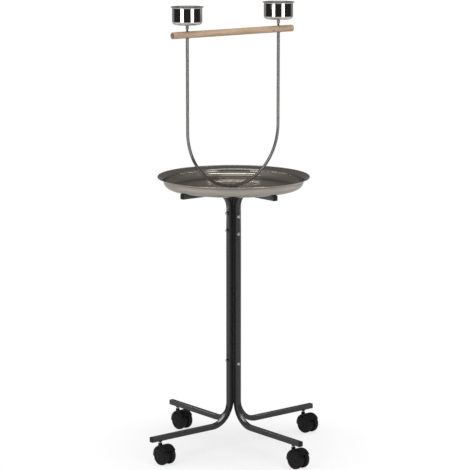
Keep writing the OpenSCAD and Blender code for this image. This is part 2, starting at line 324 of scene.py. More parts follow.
def boolean(operation, tool):
    return "BOOLEAN", {"operation": operation, "solver": "EXACT", "object": tool}


def soften(width, segments=2, angle=35):
    limit = math.radians(angle)
    return "BEVEL", {"width": width, "segments": segments, "limit_method": "ANGLE", "angle_limit": limit}


def rod(radius, low, high, segments=48, edge=0.0):
    """A plain round rod along Z, with its edges broken if an edge is given."""
    profile = [(0, low), (radius - edge, low), (radius, low + edge)]
    return revolve(profile + [(radius, high - edge), (radius - edge, high), (0, high)], segments)


def ring(outer, inner, low, high, edge=0.15 * MM, segments=64):
    """A flat ring about Z with rounded edges."""
    corners = [(outer, high, 0), (inner, high, 90), (inner, low, 180), (outer, low, 270)]
    profile = []
    for r, z, turn in corners:
        inward = -1 if r == outer else 1
        down = -1 if z == high else 1
        profile += arc((r + inward * edge, z + down * edge), edge, turn, turn + 90, 4)
    return revolve(profile, segments)


# Finishes

# The range that most of a noise's values fall in
NOISE_RANGE = (0.3, 0.7)


def add(tree, kind, inputs=None, **settings):
    """A node with its settings, and with its inputs given as values or as the sockets that feed them."""
    node = tree.nodes.new(kind)
    for key, value in settings.items():
        setattr(node, key, value)
    for key, value in (inputs or {}).items():
        if isinstance(value, bpy.types.NodeSocket):
            tree.links.new(value, node.inputs[key])
        else:
            node.inputs[key].default_value = value
    return node


def new_finish(name, **uniform):
    """A material with its Principled shader, its node tree and the piece's own coordinates."""
    material = bpy.data.materials.new(name)
    material.use_nodes = True
    tree = material.node_tree
    shader = tree.nodes["Principled BSDF"]
    for key, value in uniform.items():
        shader.inputs[key.replace("_", " ")].default_value = value
    place = add(tree, "ShaderNodeTexCoord").outputs["Object"]
    return material, tree, shader, place


def noise(tree, place, scale, detail=3.0, stretch=(1, 1, 1)):
    """Noise on the piece's own coordinates, with its number of features per metre."""
    at = add(tree, "ShaderNodeVectorMath", {0: place, 1: stretch}, operation="MULTIPLY").outputs[0]
    inputs = {"Vector": at, "Scale": scale, "Detail": detail, "Roughness": 0.55}
    return add(tree, "ShaderNodeTexNoise", inputs).outputs["Fac"]


def spread(tree, value, low, high, to_low=0.0, to_high=1.0):
    inputs = {"Value": value, "From Min": low, "From Max": high, "To Min": to_low, "To Max": to_high}
    return add(tree, "ShaderNodeMapRange", inputs).outputs["Result"]


def maths(tree, operation, first, second=0.0):
    return add(tree, "ShaderNodeMath", {0: first, 1: second}, operation=operation).outputs[0]


def blend_colour(tree, share, first, second):
    node = add(tree, "ShaderNodeMix", {0: share}, data_type="RGBA")
    for index, value in ((6, first), (7, second)):
        if isinstance(value, bpy.types.NodeSocket):
            tree.links.new(value, node.inputs[index])
        else:
            node.inputs[index].default_value = (*value, 1)
    return node.outputs[2]


def bump(tree, shader, *layers):
    """Adds up layers of (height, strength, depth in metres) on the shader's normal."""
    normal = None
    for height, strength, depth in layers:
        inputs = {"Height": height, "Strength": strength, "Distance": depth}
        if normal:
            inputs["Normal"] = normal
        normal = add(tree, "ShaderNodeBump", inputs).outputs["Normal"]
    tree.links.new(normal, shader.inputs["Normal"])


def frame_paint():
    """Satin black powder coat: orange peel, slightly uneven gloss, edges paler as wear and as a painted
    highlight.
    """
    material, tree, shader, place = new_finish(
        "frame_paint", Specular_IOR_Level=0.7, Coat_Weight=0.3, Coat_Roughness=0.15,
    )
    cloud = noise(tree, place, 18)
    # Paler corners from pointiness: partly rubbed wear, partly a painted highlight along the tube edges
    edge = spread(tree, add(tree, "ShaderNodeNewGeometry").outputs["Pointiness"], 0.52, 0.60)
    colour = blend_colour(tree, cloud, (0.013, 0.013, 0.0135), (0.020, 0.020, 0.0205))
    colour = blend_colour(tree, maths(tree, "MULTIPLY", edge, 0.5), colour, (0.07, 0.07, 0.07))
    tree.links.new(colour, shader.inputs["Base Color"])
    tree.links.new(spread(tree, cloud, *NOISE_RANGE, 0.24, 0.33), shader.inputs["Roughness"])
    peel, grit = noise(tree, place, 420, detail=2), noise(tree, place, 1800, detail=1)
    bump(tree, shader, (peel, 0.35, 0.08 * MM), (grit, 0.2, 0.02 * MM))
    return material


def moulded_plastic(name, colour, roughness, scuffed):
    """Black moulded plastic: fine spark texture, flow marks and, on treads, dust and fine scuffs."""
    material, tree, shader, place = new_finish(name, Specular_IOR_Level=0.3)
    cloud = noise(tree, place, 60)
    dust = spread(tree, noise(tree, place, 350, detail=6), 0.55, 0.75)
    pale = tuple(c + scuffed for c in colour)
    mixed = blend_colour(tree, cloud, colour, tuple(1.5 * c for c in colour))
    mixed = blend_colour(tree, maths(tree, "MULTIPLY", dust, 0.6), mixed, pale)
    tree.links.new(mixed, shader.inputs["Base Color"])
    gloss = spread(tree, cloud, *NOISE_RANGE, roughness - 0.05, roughness + 0.08)
    tree.links.new(gloss, shader.inputs["Roughness"])
    grain = noise(tree, place, 2600, detail=2)
    flow = noise(tree, place, 90, detail=2)
    bump(tree, shader, (grain, 0.3, 0.03 * MM), (flow, 0.1, 0.2 * MM))
    return material


def spun_marks(tree, place, per_metre):
    """Fine rings about Z, as a polishing wheel leaves on a spun or pressed sheet."""
    parts = add(tree, "ShaderNodeSeparateXYZ", {"Vector": place}).outputs
    flat = add(tree, "ShaderNodeCombineXYZ", {"X": parts["X"], "Y": parts["Y"], "Z": 0.0}).outputs[0]
    radius = add(tree, "ShaderNodeVectorMath", {0: flat}, operation="LENGTH").outputs["Value"]
    along = maths(tree, "ADD", radius, parts["Z"])
    inputs = {"W": along, "Scale": per_metre, "Detail": 4.0}
    return add(tree, "ShaderNodeTexNoise", inputs, noise_dimensions="1D").outputs["Fac"]


def polished_steel(name, colour, roughness, marks, sheet_wave):
    """Polished stainless sheet: spun polishing marks, soft smudges and the slow waves of a pressing."""
    material, tree, shader, place = new_finish(name, Metallic=1.0)
    smudge = noise(tree, place, 14, detail=5)
    rings = spun_marks(tree, place, 2200)
    tint = blend_colour(tree, smudge, colour, tuple(0.93 * c for c in colour))
    tree.links.new(tint, shader.inputs["Base Color"])
    gloss = maths(tree, "ADD", spread(tree, smudge, 0.35, 0.75, 0.0, 0.5 * roughness), roughness)
    tree.links.new(gloss, shader.inputs["Roughness"])
    waves = noise(tree, place, 9, detail=1)
    bump(tree, shader, (waves, sheet_wave, 1.2 * MM), (rings, marks, 0.01 * MM))
    return material


def rod_steel():
    """Dull drawn steel: fine lengthwise draw marks under a grey bloom."""
    material, tree, shader, place = new_finish("rod_steel", Metallic=1.0)
    bloom = noise(tree, place, 45, detail=5)
    lines = noise(tree, place, 900, detail=3, stretch=(1, 1, 0.04))
    tint = blend_colour(tree, bloom, (0.32, 0.32, 0.31), (0.38, 0.38, 0.365))
    tree.links.new(tint, shader.inputs["Base Color"])
    tree.links.new(spread(tree, bloom, *NOISE_RANGE, 0.26, 0.32), shader.inputs["Roughness"])
    grain = noise(tree, place, 1500, detail=2)
    bump(tree, shader, (lines, 0.1, 0.01 * MM), (grain, 0.08, 0.01 * MM))
    return material


def plated_steel(name, dark, bright):
    """Plated steel with the faint crystals of its plating."""
    material, tree, shader, place = new_finish(name, Metallic=1.0)
    crystal = add(tree, "ShaderNodeTexVoronoi", {"Vector": place, "Scale": 700.0}).outputs["Color"]
    cell = add(tree, "ShaderNodeSeparateColor", {"Color": crystal}).outputs["Red"]
    tint = blend_colour(tree, cell, dark, bright)
    tree.links.new(tint, shader.inputs["Base Color"])
    tree.links.new(spread(tree, cell, 0, 1, 0.22, 0.34), shader.inputs["Roughness"])
    bump(tree, shader, (noise(tree, place, 1600, detail=3), 0.2, 0.02 * MM))
    return material


def perch_wood():
    """Pale turned wood along X: growth rings about a distant pith, pores, end grain and a small knot."""
    material, tree, shader, place = new_finish("perch_wood", Specular_IOR_Level=0.35)
    drift = noise(tree, place, 6, detail=2, stretch=(1, 3, 3))
    parts = add(tree, "ShaderNodeSeparateXYZ", {"Vector": place}).outputs
    pith_y, pith_z, rings_per_metre, ring_drift = -0.021, 1.103, 2400.0, 16.0
    beside = maths(tree, "SUBTRACT", parts["Y"], pith_y)
    above = maths(tree, "SUBTRACT", parts["Z"], pith_z)
    across = add(tree, "ShaderNodeCombineXYZ", {"X": 0.0, "Y": beside, "Z": above}).outputs[0]
    distance = add(tree, "ShaderNodeVectorMath", {0: across}, operation="LENGTH").outputs["Value"]
    wandering = maths(tree, "MULTIPLY", drift, ring_drift)
    rings = maths(tree, "ADD", maths(tree, "MULTIPLY", distance, rings_per_metre), wandering)
    late = maths(tree, "POWER", spread(tree, maths(tree, "SINE", rings), -1, 1), 2.5)
    fibre = noise(tree, place, 260, detail=5, stretch=(0.045, 1, 1))
    pores = spread(tree, noise(tree, place, 900, detail=2, stretch=(0.05, 1, 1)), 0.56, 0.72)
    patch = noise(tree, place, 11, detail=2, stretch=(1, 2, 2))
    patches = spread(tree, patch, *NOISE_RANGE)
    colour = blend_colour(tree, patches, (0.60, 0.42, 0.285), (0.52, 0.345, 0.225))
    colour = blend_colour(tree, spread(tree, fibre, 0.35, 0.7), colour, (0.66, 0.49, 0.35))
    colour = blend_colour(tree, maths(tree, "MULTIPLY", late, 0.42), colour, (0.40, 0.235, 0.135))
    colour = blend_colour(tree, maths(tree, "MULTIPLY", pores, 0.35), colour, (0.30, 0.17, 0.095))
    inputs = {0: place, 1: KNOT_AT}
    gap = add(tree, "ShaderNodeVectorMath", inputs, operation="DISTANCE").outputs["Value"]
    ragged = maths(tree, "ADD", gap, maths(tree, "MULTIPLY", fibre, KNOT_R))
    knot = spread(tree, ragged, KNOT_R, 1.7 * KNOT_R, 0.8, 0)
    colour = blend_colour(tree, knot, colour, (0.14, 0.07, 0.04))
    normal = add(tree, "ShaderNodeTexCoord").outputs["Normal"]
    facing = add(tree, "ShaderNodeSeparateXYZ", {"Vector": normal}).outputs["X"]
    end_grain = spread(tree, maths(tree, "ABSOLUTE", facing), 0.75, 0.95)
    colour = blend_colour(tree, maths(tree, "MULTIPLY", end_grain, 0.85), colour, (0.21, 0.10, 0.08))
    tree.links.new(colour, shader.inputs["Base Color"])
    tree.links.new(spread(tree, fibre, *NOISE_RANGE, 0.62, 0.5), shader.inputs["Roughness"])
    bump(tree, shader, (fibre, 0.5, 0.12 * MM), (pores, 0.6, -0.1 * MM))
    return material


def milky_nylon():
    """Milky nylon of the rings that lock the nuts."""
    material, tree, shader, place = new_finish("nylon", Roughness=0.45)
    tint = blend_colour(tree, noise(tree, place, 300), (0.62, 0.64, 0.62), (0.74, 0.75, 0.72))
    tree.links.new(tint, shader.inputs["Base Color"])
    bump(tree, shader, (noise(tree, place, 1200), 0.2, 0.02 * MM))
    return material


FINISHES = {
    "frame_paint": frame_paint(),
    "cap_plastic": moulded_plastic(
        "cap_plastic", (0.012, 0.012, 0.012), roughness=0.42, scuffed=0.015,
    ),
    "caster_plastic": moulded_plastic(
        "caster_plastic", (0.005, 0.005, 0.005), roughness=0.36, scuffed=0.012,
    ),
    "wheel_plastic": moulded_plastic(
        "wheel_plastic", (0.006, 0.006, 0.006), roughness=0.46, scuffed=0.02,
    ),
    "zinc": plated_steel("zinc", (0.66, 0.66, 0.65), (0.82, 0.82, 0.80)),
    "dark_steel": plated_steel("dark_steel", (0.11, 0.11, 0.11), (0.16, 0.16, 0.155)),
    "tray_steel": polished_steel(
        "tray_steel", (0.62, 0.57, 0.515), roughness=0.08, marks=0.2, sheet_wave=0.05,
    ),
    "cup_steel": polished_steel(
        "cup_steel", (0.86, 0.845, 0.82), roughness=0.035, marks=0.06, sheet_wave=0.01,
    ),
    "rod_steel": rod_steel(),
    "perch_wood": perch_wood(),
}


def put(name, mesh, slot, body, nodes=(), matrix=Matrix(), finish=None):
    """Places a piece on its body, gives it the finish of its slot or the one given, and hides the nodes
    it stands for.
    """
    piece = bpy.data.objects.new(name, mesh)
    bpy.context.scene.collection.objects.link(piece)
    piece.matrix_world = matrix
    if not mesh.materials:
        mesh.materials.append(finish or FINISHES[slot])
    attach(piece, body)
    if nodes:
        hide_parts(*nodes)
    return piece


def finish_node(node, slot):
    """Gives a CAD node that stays the finish of a slot."""
    mesh = frame["nodes"][node].data
    mesh.materials.clear()
    mesh.materials.append(FINISHES[slot])


def about_z(degrees):
    return Matrix.Rotation(math.radians(degrees), 4, "Z")


Z_TO_X = Matrix.Rotation(math.radians(90), 4, "Y")


# Frame

def bent_tube():
    """The tube that runs out along +X, with the inner wall drawn in and the sides out at its bends."""
    low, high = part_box("tube_right")
    core_low, core_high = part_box("core_tube")
    width = core_high.x - core_low.x
    leg_z, arm_z = low.z + width / 2, high.z - width / 2
    arm_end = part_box("arm_cap_right")[1].x - (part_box("leg_cap_right")[1].x - high.x)
    steps = 40
    leg_arc = arc((width + LEG_BEND, leg_z + LEG_BEND), LEG_BEND, 270, 180, steps)
    arm_arc = arc((width + ARM_BEND, arm_z - ARM_BEND), ARM_BEND, 180, 90, steps)
    flat = [(high.x, leg_z)] + leg_arc + arm_arc + [(arm_end, arm_z)]
    path = [(x, 0, z) for x, z in flat]

    def at_bend(i, u, v):
        share = (i - 1) / steps if i <= steps + 1 else (i - steps - 2) / steps
        pull = math.sin(math.pi * min(max(share, 0), 1)) ** 0.6
        across, deep = 2 * u / width, 2 * v / width
        v += BEND_DENT * pull * (1 - across ** 2) * max(0, -deep) ** 4
        u += BEND_BULGE * pull * (1 - deep ** 2) * across ** 3
        return u, v

    return sweep(path, round_square(width, TUBE_CORNER), (0, 1, 0), at_bend)


def end_cap():
    """End cap with its plug, drawn about X with the tube's end at x = 0."""
    low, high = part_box("leg_cap_right")
    plate = high.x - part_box("tube_right")[1].x
    width, plug = high.y - low.y, high.x - low.x - plate
    edge, inner = 0.7 * MM, width - 2.6 * MM
    # From the end of the plug over the rim of the plate to the middle of its face
    outline = [(-plug, inner - edge), (-plug + edge, inner), (0, inner), (0, width - 0.3 * MM)]
    outline += [(0.15 * MM, width), (plate - edge, width), (plate - 0.3 * edge, width - 0.5 * edge)]
    outline += [(plate - 0.1 * edge, width - 1.4 * edge), (plate, width * 0.4), (plate, 0.0)]
    rings = []
    for x, size in outline:
        corner = min(TUBE_CORNER, size * 0.3)
        rings.append([(x, y, z) for y, z in round_square(size, corner)])
    return skin(rings)


def build_tubes():
    tube = mesh_of("bent_tube", bent_tube())
    cap = mesh_of("end_cap", end_cap())
    tube_low, tube_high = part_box("tube_right")
    half = (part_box("core_tube")[1].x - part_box("core_tube")[0].x) / 2
    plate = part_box("leg_cap_right")[1].x - tube_high.x
    arm_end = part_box("arm_cap_right")[1].x - plate
    for k, side in enumerate(SIDES):
        turn = about_z(90 * k)
        put(f"bent_tube_{side}", tube, "frame_paint", "stand", [f"tube_{side}"], turn)
        leg_place = turn @ Matrix.Translation((tube_high.x, 0, tube_low.z + half))
        arm_place = turn @ Matrix.Translation((arm_end, 0, tube_high.z - half))
        put(f"leg_plug_{side}", cap, "cap_plastic", "stand", [f"leg_cap_{side}"], leg_place)
        put(f"arm_plug_{side}", cap, "cap_plastic", "stand", [f"arm_cap_{side}"], arm_place)
    finish_node("core_tube", "frame_paint")
    finish_node("core_insert", "zinc")


def hexagon(across_flats, low, high):
    radius = across_flats / 2 / math.cos(math.radians(30))
    corners = arc((0, 0), radius, 0, 300, 5)
    return skin([[(x, y, low) for x, y in corners], [(x, y, high) for x, y in corners]])


def hex_nut(across_flats, height, bore):
    """A nut from z = 0 up, with its corners chamfered at both faces."""
    face = 0.47 * across_flats
    corner = across_flats / 2 / math.cos(math.radians(30))
    chamfer = (corner - face) * math.tan(math.radians(30))
    out = corner * 1.01
    profile = [(0, 0), (face, 0), (out, chamfer)]
    profile += [(out, height - chamfer), (face, height), (0, height)]
    body = worked(hexagon(across_flats, 0, height), boolean("INTERSECT", revolve(profile, segments=72)))
    hole = rod(bore / 2, -height, 2 * height, segments=40)
    return worked(body, boolean("DIFFERENCE", hole), soften(0.12 * MM, segments=1, angle=25))


def domed_bolt(head_d, head_h, grip, length):
    """Socket bolt along +Z whose head sits below z = 0, with a thread beyond its grip."""
    edge, chamfer, key = 0.4 * MM, 0.15 * MM, 3 * MM
    radius = head_d / 2
    turns = [math.radians(a) for a in range(0, 90, 6)]
    dome = [(radius * math.cos(a), -edge - (head_h - edge) * math.sin(a)) for a in turns]
    head = revolve([(0, 0), (radius - chamfer, 0), (radius, -chamfer)] + dome + [(0, -head_h)])
    socket = hexagon(key, -2 * head_h, -0.45 * head_h)
    head = worked(head, boolean("DIFFERENCE", socket), soften(0.1 * MM, angle=40))
    shank = rod(BOLT_D / 2, 0, grip, segments=32)
    thread = threaded_rod(BOLT_D / 2, BOLT_THREAD, grip, length, segments=28)
    return joined(head, shank, thread)


def build_bolts():
    """Bolts and locking nuts, along X with their heads at +X and along Y with their heads at -Y."""
    bolt_low, bolt_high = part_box("bolts_y")
    nut_low, nut_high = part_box("nuts_y")
    post = nut_low.y
    head_h = -post - bolt_low.y
    nut_h = nut_high.y - nut_low.y - NUT_COLLAR
    head_d = bolt_high.x - bolt_low.x
    bolt = domed_bolt(head_d, head_h, 2 * post + 0.5 * nut_h, bolt_high.y + post)
    collar_r, seat = NUT_FLATS / 2 - 0.5 * MM, nut_h - 0.1 * MM
    collar = ring(collar_r, collar_r - 0.6 * MM, seat, nut_h + NUT_COLLAR, edge=0.25 * MM)
    nut = joined(hex_nut(NUT_FLATS, nut_h, BOLT_D), collar)
    nylon = ring(collar_r - 0.55 * MM, BOLT_D / 2, seat, nut_h + 0.8 * NUT_COLLAR, edge=0.1 * MM)
    nylon_finish = milky_nylon()
    for axis, turn in (("x", about_z(180) @ Z_TO_X), ("y", about_z(90) @ Z_TO_X)):
        low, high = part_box(f"bolts_{axis}")
        top = high.z - head_d / 2
        heights = [low.z + head_d / 2, top - BOLT_PITCH, top]
        for kind, shape, place, slot, nodes in (
            ("post_bolts", bolt, -post, "zinc", [f"bolts_{axis}"]),
            ("lock_nuts", nut, post, "dark_steel", [f"nuts_{axis}"]),
            ("lock_rings", nylon, post, "cap_plastic", []),
        ):
            along = turn @ Matrix.Translation((0, 0, place))
            parts = [moved(shape, Matrix.Translation((0, 0, h)) @ along) for h in heights]
            finish = nylon_finish if kind == "lock_rings" else None
            put(f"{kind}_{axis}", mesh_of(kind, joined(*parts)), slot, "stand", nodes, finish=finish)


# Tray and cups

def pan_profile(rim, wall, depth, corner, fillet, slope, sheet, bead, hole):
    """Closed half section of a pressed pan with a flared, beaded rim, as the source has it."""
    tilt = math.radians(slope)
    lip_x = rim - bead - wall - fillet + fillet * math.sin(tilt)
    bead_z = depth - bead
    fillet_z = bead_z - sheet / 2 / math.cos(tilt) - lip_x * math.tan(tilt) - fillet * math.cos(tilt)
    corner_at, fillet_at = (wall - corner, corner), (wall + fillet, fillet_z)
    seam = math.degrees(math.asin(sheet / 2 / bead))
    under = [(hole, 0)] + arc(corner_at, corner, -90, 0, 24)
    under += arc(fillet_at, fillet, 180, 90 + slope, 10)
    curl = arc((rim - bead, bead_z), bead, 180 + slope + seam, 540 + slope - seam, 32)
    over = arc(fillet_at, fillet + sheet, 90 + slope, 180, 10)
    over += arc(corner_at, corner - sheet, 0, -90, 24)
    return under + curl + over + [(hole, sheet)]


def build_tray():
    low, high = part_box("tray")
    profile = pan_profile(
        high.x, TRAY_WALL, high.z - low.z, TRAY_CORNER, TRAY_FILLET, TRAY_SLOPE,
        TRAY_SHEET, TRAY_BEAD, TRAY_HOLE,
    )
    base = Matrix.Translation((0, 0, low.z))
    pan = mesh_of("drip_tray", revolve(profile, segments=256), sharp=50)
    put("drip_tray", pan, "tray_steel", "stand", ["tray"], base)
    washer_low, washer_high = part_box("tray_washer")
    washer = ring(washer_high.x, TRAY_HOLE, washer_low.z, washer_high.z, edge=0.3 * MM, segments=96)
    put("rod_washer", mesh_of("rod_washer", washer), "zinc", "stand", ["tray_washer"])


def build_cups():
    for side in ("left", "right"):
        low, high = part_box(f"cup_{side}")
        centre, rim = (low.x + high.x) / 2, (high.x - low.x) / 2
        under = high.z - CUP_DEPTH
        profile = pan_profile(
            rim, CUP_WALL, CUP_DEPTH, CUP_CORNER, CUP_FILLET, CUP_SLOPE, CUP_SHEET, CUP_BEAD, hole=0.0,
        )
        cup = mesh_of("feeding_cup", revolve(profile, segments=160), sharp=50)
        place = Matrix.Translation((centre, 0, under))
        put(f"feeding_cup_{side}", cup, "cup_steel", f"cup_{side}", [f"cup_{side}"], place)
        boss = ring(BOSS_R, STUD_D / 2 + SNUG, low.z - under, 0.2 * MM, edge=0.3 * MM)
        put(f"cup_boss_{side}", mesh_of("cup_boss", boss), "rod_steel", f"cup_{side}", (), place)
        weld = weld_bead(BOSS_R + 0.3 * MM, CUP_WELD, ripples=22)
        put(f"cup_weld_{side}", mesh_of("cup_weld", weld), "rod_steel", f"cup_{side}", (), place)


# Rod and perch

def build_rod():
    """U-shaped rod with reduced, threaded ends, and the stud that is welded under its middle."""
    low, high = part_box("perch_rod")
    radius, top = high.y, high.z
    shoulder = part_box("perch_washers")[0].z
    reach = high.x - radius
    bend_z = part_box("tray_washer")[1].z + radius + reach
    bend = arc((0, bend_z), reach, 180, 360, 120)
    path = [(-reach, 0, shoulder)] + [(x, 0, z) for x, z in bend] + [(reach, 0, shoulder)]
    sides = 40
    section = arc((0, 0), radius, 0, 360 - 360 / sides, sides - 1)
    bar = sweep(path, section, (0, 1, 0))
    end = threaded_rod(STUD_D / 2, STUD_THREAD, shoulder - 0.5 * MM, top)
    ends = [moved(end, Matrix.Translation((x, 0, 0))) for x in (-reach, reach)]
    stud = rod(STUD_D / 2, low.z, bend_z - reach, segments=40, edge=0.5 * MM)
    bow = mesh_of("perch_bow", joined(bar, *ends, stud))
    put("perch_bow", bow, "rod_steel", "stand", ["perch_rod"])
    weld = weld_bead(STUD_D / 2 + 0.1 * MM, STUD_WELD, ripples=18)
    weld_place = Matrix.Translation((0, 0, bend_z - reach - radius + 1.0 * MM))
    put("stud_weld", mesh_of("stud_weld", weld), "rod_steel", "stand", (), weld_place)
    return reach


def perch_bar():
    """The wooden bar along X: turned by hand, so its outline wanders by a tenth of a millimetre."""
    low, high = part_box("perch")
    radius, half = (high.z - low.z) / 2, high.x
    edge, wobble, slices, segments = 1.6 * MM, 0.06 * MM, 120, 80
    start = arc((-half + edge, radius - edge), edge, 180, 90, 6)
    outline = [(-half, 0.0)] + start
    outline += [(-half + edge + 2 * (half - edge) * i / slices, radius) for i in range(1, slices)]
    outline += [(-x, r) for x, r in reversed(start)] + [(half, 0.0)]
    rings = []
    for x, r in outline:
        wander = [wobble * math.sin(31 * x + k) * math.sin(57 * x + 2 * k) for k in (0, 1, 2)]
        points = []
        for j in range(segments):
            a = 2 * math.pi * j / segments
            lobe = wander[0] * math.cos(2 * a) + wander[1] * math.sin(3 * a) + wander[2] - wobble
            s = max(r + lobe, 0.0) if r > 0 else 0.0
            points.append((x, s * math.cos(a), s * math.sin(a)))
        rings.append(points)
    return moved(skin(rings), Matrix.Translation((0, 0, (low.z + high.z) / 2)))


def build_perch(reach):
    low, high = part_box("perch")
    washer_low, washer_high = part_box("perch_washers")
    nut_low, nut_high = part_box("perch_nuts")
    seat_r = max(washer_high.x, nut_high.x) - reach + 0.5 * MM
    under, over = low.z - 5 * MM, high.z + 5 * MM
    cuts = []
    for x in (-reach, reach):
        parts = [
            rod(STUD_D / 2 + LOOSE, under, over, segments=40),
            rod(seat_r, nut_low.z - WASHER_T, over, segments=56),
            rod(seat_r, under, washer_low.z + WASHER_T, segments=56),
        ]
        cuts += [boolean("DIFFERENCE", moved(part, Matrix.Translation((x, 0, 0)))) for part in parts]
    bar = worked(perch_bar(), *cuts, soften(0.25 * MM, angle=50))
    put("wooden_perch", mesh_of("wooden_perch", bar, sharp=40), "perch_wood", "stand", ["perch"])
    nut = hex_nut(PERCH_NUT_FLATS, nut_high.z - nut_low.z, STUD_D)
    washer = ring(washer_high.x - reach, STUD_D / 2 + LOOSE, 0, WASHER_T, edge=0.2 * MM)
    heights = (washer_low.z, nut_low.z - WASHER_T)
    washers = [moved(washer, Matrix.Translation((x, 0, z))) for x in (-reach, reach) for z in heights]
    nuts = [moved(nut, Matrix.Translation((x, 0, nut_low.z))) for x in (-reach, reach)]
    rings, hexes = mesh_of("perch_rings", joined(*washers)), mesh_of("perch_hex_nuts", joined(*nuts))
    put("perch_rings", rings, "dark_steel", "stand", ["perch_washers"])
    put("perch_hex_nuts", hexes, "zinc", "stand", ["perch_nuts"])


# Casters, drawn about the swivel axis on the floor

def wheel_section(radius, width):
    """Half section of a wheel from its inner face: hollow, shoulder, dished face and hub cap."""
    hub, dish, broken = WHEEL_HUB, WHEEL_DISH, 0.4 * MM
    face = radius - WHEEL_SHOULDER
    rim = radius - WHEEL_LIP
    bottom = width - dish
    section = [(WHEEL_BORE, 0), (hub - broken, 0), (hub, broken)]
    section += [(hub, WHEEL_HOLLOW), (rim - 1 * MM, WHEEL_HOLLOW), (rim, broken), (rim + broken, 0)]
    section += arc((radius - WHEEL_CORNER, WHEEL_CORNER), WHEEL_CORNER, -90, 0, 8)
    section += arc((face, width - WHEEL_SHOULDER), WHEEL_SHOULDER, 0, 90, 24)
    # Down into the dished face, across it, and up onto the hub cap
    section += arc((face - 0.2 * MM, bottom), dish, 90, 160, 6)[:-1]
    section += [(face - 1.9 * MM, bottom), (hub, bottom)]
    section += [(hub - 0.5 * MM, width - 0.9 * dish), (hub - 1.1 * MM, width - 0.3 * dish)]
    section += arc((hub - 2.2 * MM, width - HUB_EDGE), HUB_EDGE, 30, 90, 4) + [(0, width)]
    section += [(0, width - HUB_CAP), (WHEEL_BORE, width - HUB_CAP)]
    return section


def hood_section(radius, out_x, margin, start, end):
    """Half section of the space that a wheel takes, grown by a margin."""
    centre = (radius - WHEEL_SHOULDER, out_x - WHEEL_SHOULDER)
    grown = WHEEL_SHOULDER + margin
    angle = math.degrees(math.asin(min(1, (end - centre[1]) / grown)))
    tip = arc(centre, grown, 0, angle, 20)
    return [(0, start), (radius + margin, start)] + tip + [(0, tip[-1][1])]


def caster_hood(sizes):
    """Hood over both wheels, the web between them and the neck for the stem, about its axle."""
    radius, out_x, top = sizes["radius"], sizes["out_x"], sizes["neck"]
    half, web, wall = sizes["hood_half"], sizes["web"], sizes["hood_r"] - sizes["radius"]
    overlap = 0.5 * MM
    flip = Matrix.Scale(-1, 4, (0, 0, 1))
    section = hood_section(radius, out_x, wall, -overlap, half)
    shell = revolve_part(section, HOOD_FRONT, HOOD_BACK)
    section = hood_section(radius, out_x, wall, -overlap - LOOSE, half)
    other = revolve_part(section, HOOD_FRONT, HOOD_BACK)
    space = revolve(hood_section(radius, out_x, HOOD_GAP, web / 2, 2 * out_x))
    to_neck = Z_TO_X.inverted() @ Matrix.Translation((0, sizes["trail"], 0))
    neck = moved(rod(web / 2, 0, top, segments=64), to_neck)
    bore = moved(rod(sizes["stem_r"] + LOOSE, top - STEM_IN_HOOD, top + 5 * MM), to_neck)
    disc = rod(radius - 4 * MM, -web / 2, web / 2, segments=96)
    axle_hole = rod(BOLT_D / 2 + LOOSE, -web, web)
    added = [boolean("UNION", part) for part in (moved(other, flip), disc, neck)]
    cut = [boolean("DIFFERENCE", part) for part in (space, moved(space, flip), axle_hole, bore)]
    return worked(shell, *added, *cut, soften(0.35 * MM, angle=40))


def caster_sizes():
    wheel_low, wheel_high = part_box("caster_right_wheel_b")
    hood_low, hood_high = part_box("caster_right_hood")
    stem_low, stem_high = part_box("caster_right_stem")
    axis = (stem_low + stem_high) / 2
    axle = (wheel_low + wheel_high) / 2
    radius = (wheel_high.z - wheel_low.z) / 2
    in_x = wheel_low.x - axis.x
    return {
        "reach": axis.x, "radius": radius, "axle_z": axle.z, "trail": axis.y - axle.y,
        "in_x": in_x, "out_x": wheel_high.x - axis.x, "hood_r": hood_high.z - axle.z,
        "hood_half": (hood_high.x - hood_low.x) / 2, "web": 2 * (in_x - WEB_PLAY),
        "stem_r": (stem_high.x - stem_low.x) / 2, "neck": stem_low.z + STEM_IN_HOOD - axle.z,
    }


def build_casters():
    sizes = caster_sizes()
    axle_place = Matrix.Translation((0, -sizes["trail"], sizes["axle_z"])) @ Z_TO_X
    hood = mesh_of("caster_hood", moved(caster_hood(sizes), axle_place), sharp=40)
    wheel = revolve(wheel_section(sizes["radius"], sizes["out_x"] - sizes["in_x"]))
    wheel = moved(wheel, Matrix.Translation((0, 0, sizes["in_x"])))
    turned = {"a": axle_place @ Matrix.Scale(-1, 4, (0, 0, 1)), "b": axle_place}
    wheels = {letter: mesh_of(f"wheel_{letter}", moved(wheel, turned[letter])) for letter in "ab"}
    socket_low, socket_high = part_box("caster_right_socket")
    stem_low, stem_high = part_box("caster_right_stem")
    leg_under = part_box("tube_right")[0].z
    flange_r = (socket_high.x - socket_low.x) / 2
    bore = sizes["stem_r"] + SNUG
    flange = ring(flange_r, bore, socket_low.z, leg_under, edge=0.5 * MM)
    sleeve = ring(flange_r - FLANGE_STEP, bore, leg_under - 0.2 * MM, socket_high.z, edge=0.3 * MM)
    stem = rod(sizes["stem_r"], stem_low.z, stem_high.z, edge=0.6 * MM)
    socket = mesh_of("caster_flange", joined(flange, sleeve))
    pin = mesh_of("caster_pin", stem)
    for k, side in enumerate(SIDES):
        at = Matrix.Translation(about_z(90 * k) @ Vector((sizes["reach"], 0, 0)))
        name = f"caster_{side}"
        put(f"{name}_flange", socket, "caster_plastic", "stand", [f"{name}_socket"], at)
        put(f"{name}_pin", pin, "zinc", name, [f"{name}_stem"], at)
        put(f"{name}_cover", hood, "caster_plastic", name, [f"{name}_hood"], at)
        for letter, mesh in wheels.items():
            body = f"wheel_{side}_{letter}"
            put(f"{name}_tyre_{letter}", mesh, "wheel_plastic", body, [f"{name}_wheel_{letter}"], at)
        finish_node(f"{name}_axle", "zinc")


# Studio

